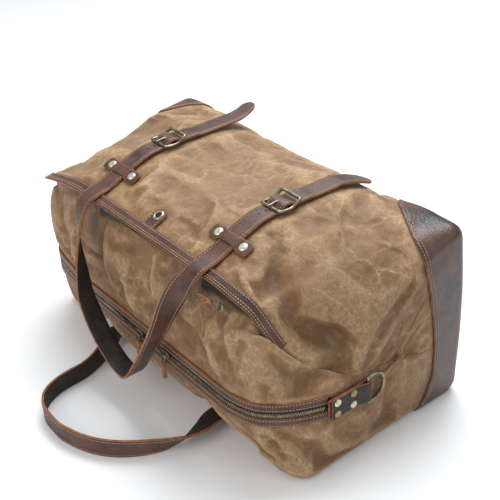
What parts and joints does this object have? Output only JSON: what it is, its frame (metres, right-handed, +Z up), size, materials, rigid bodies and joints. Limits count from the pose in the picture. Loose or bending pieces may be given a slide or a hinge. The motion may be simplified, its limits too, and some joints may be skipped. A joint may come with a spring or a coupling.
{
  "type": "weekender bag",
  "caption": "Waxed canvas weekender bag with leather corners, buckled strap handles, zipped top and front pocket, lying on its back.",
  "frame": {"origin": "on the flat back panel that the bag lies on, at the middle of the bag's length", "axes": "+X along the bag towards its right end, +Y towards the bag's bottom panel, +Z up out of the front panel"},
  "size_m": [0.512, 0.4076, 0.2633],
  "materials": {
    "canvas": "waxed cotton canvas, satin-dull",
    "lining": "plain cotton",
    "board": "matte stiffener board",
    "leather": "oiled, semi-gloss",
    "thong": "orange-brown, dull",
    "brass": "antique brass, satin",
    "pale_brass": "pale brass, satin",
    "zip_tape": "woven tape"
  },
  "bodies": {
    "bag": {"end_panel_left": "canvas", "end_panel_right": "canvas", "back_panel": "canvas", "bottom_panel": "canvas", "front_panel": "canvas", "zip_gusset_front": "canvas", "zip_gusset_back": "canvas", "pocket_panel": "canvas", "lining": "lining", "base_board": "board", "corner_cap_left": "leather", "corner_cap_right": "leather", "pocket_edge_trim": "leather", "zip_trim_front": "leather", "zip_trim_back": "leather", "handle_end_left": "leather", "handle_end_right": "leather", "chape_left": "leather", "chape_right": "leather", "keeper_left": "leather", "keeper_right": "leather", "eyelet_tab": "leather", "end_tab_left": "leather", "end_tab_right": "leather", "back_handle_end_left": "leather", "back_handle_end_right": "leather", "pocket_zip_teeth": "brass", "zip_teeth_front": "brass", "zip_teeth_back": "brass", "buckle_left": "brass", "buckle_right": "brass", "eyelet": "brass", "keeper_rivets_left": "pale_brass", "keeper_rivets_right": "pale_brass", "end_tab_rivets_left": "pale_brass", "end_tab_rivets_right": "pale_brass", "zip_tape_front": "zip_tape", "zip_tape_back": "zip_tape", "pocket_zip_tape": "zip_tape"},
    "zip_slider_left": {"zip_slider_left": "brass"},
    "zip_slider_right": {"zip_slider_right": "brass"},
    "zip_pull_left": {"zip_pull_link_left": "brass", "zip_pull_thong_left": "thong"},
    "zip_pull_right": {"zip_pull_link_right": "brass", "zip_pull_thong_right": "thong"},
    "pocket_slider": {"pocket_zip_slider": "brass"},
    "pocket_pull": {"pocket_zip_pull": "brass", "pocket_zip_thong": "thong"},
    "prong_left": {"buckle_prong_left": "brass"},
    "prong_right": {"buckle_prong_right": "brass"},
    "d_ring_left": {"d_ring_left": "brass"},
    "d_ring_right": {"d_ring_right": "brass"},
    "front_handle": {"front_handle": "leather"},
    "back_handle": {"back_handle": "leather"}
  },
  "joints": [
    {"name": "zip_slide_left", "type": "slide", "parent": "bag", "child": "zip_slider_left", "axis": [1, 0, 0], "range_m": [-0.115, 0]},
    {"name": "zip_slide_right", "type": "slide", "parent": "bag", "child": "zip_slider_right", "axis": [1, 0, 0], "range_m": [0, 0.092]},
    {"name": "zip_pull_swing_left", "type": "hinge", "parent": "zip_slider_left", "child": "zip_pull_left", "pos_m": [0.004, -0.1677, 0.089], "axis": [1, 0, 0], "range_deg": [-90, 0]},
    {"name": "zip_pull_swing_right", "type": "hinge", "parent": "zip_slider_right", "child": "zip_pull_right", "pos_m": [0.056, -0.1677, 0.089], "axis": [1, 0, 0], "range_deg": [-90, 0]},
    {"name": "pocket_slide", "type": "slide", "parent": "bag", "child": "pocket_slider", "axis": [1, 0, 0], "range_m": [-0.22, 0.002]},
    {"name": "pocket_pull_swing", "type": "hinge", "parent": "pocket_slider", "child": "pocket_pull", "pos_m": [0.148, -0.1535, 0.19918], "axis": [0, 0.1611, 0.9869], "range_deg": [0, 150]},
    {"name": "prong_lift_left", "type": "hinge", "parent": "bag", "child": "prong_left", "pos_m": [-0.106, -0.03, 0.2541], "axis": [1, 0, 0], "range_deg": [-70, 0]},
    {"name": "prong_lift_right", "type": "hinge", "parent": "bag", "child": "prong_right", "pos_m": [0.106, -0.03, 0.2541], "axis": [1, 0, 0], "range_deg": [-70, 0]},
    {"name": "d_ring_swing_left", "type": "hinge", "parent": "bag", "child": "d_ring_left", "pos_m": [-0.2518, -0.037, 0.089], "axis": [0, 0, 1], "range_deg": [0, 150]},
    {"name": "d_ring_swing_right", "type": "hinge", "parent": "bag", "child": "d_ring_right", "pos_m": [0.2518, -0.037, 0.089], "axis": [0, 0, 1], "range_deg": [-150, 0]},
    {"name": "front_handle_swing", "type": "hinge", "parent": "bag", "child": "front_handle", "pos_m": [0, -0.14864, 0.22344], "axis": [1, 0, 0], "range_deg": [-150, 0]},
    {"name": "back_handle_swing", "type": "hinge", "parent": "bag", "child": "back_handle", "pos_m": [0, -0.131, 0.014], "axis": [1, 0, 0], "range_deg": [-28, 0]}
  ]
}
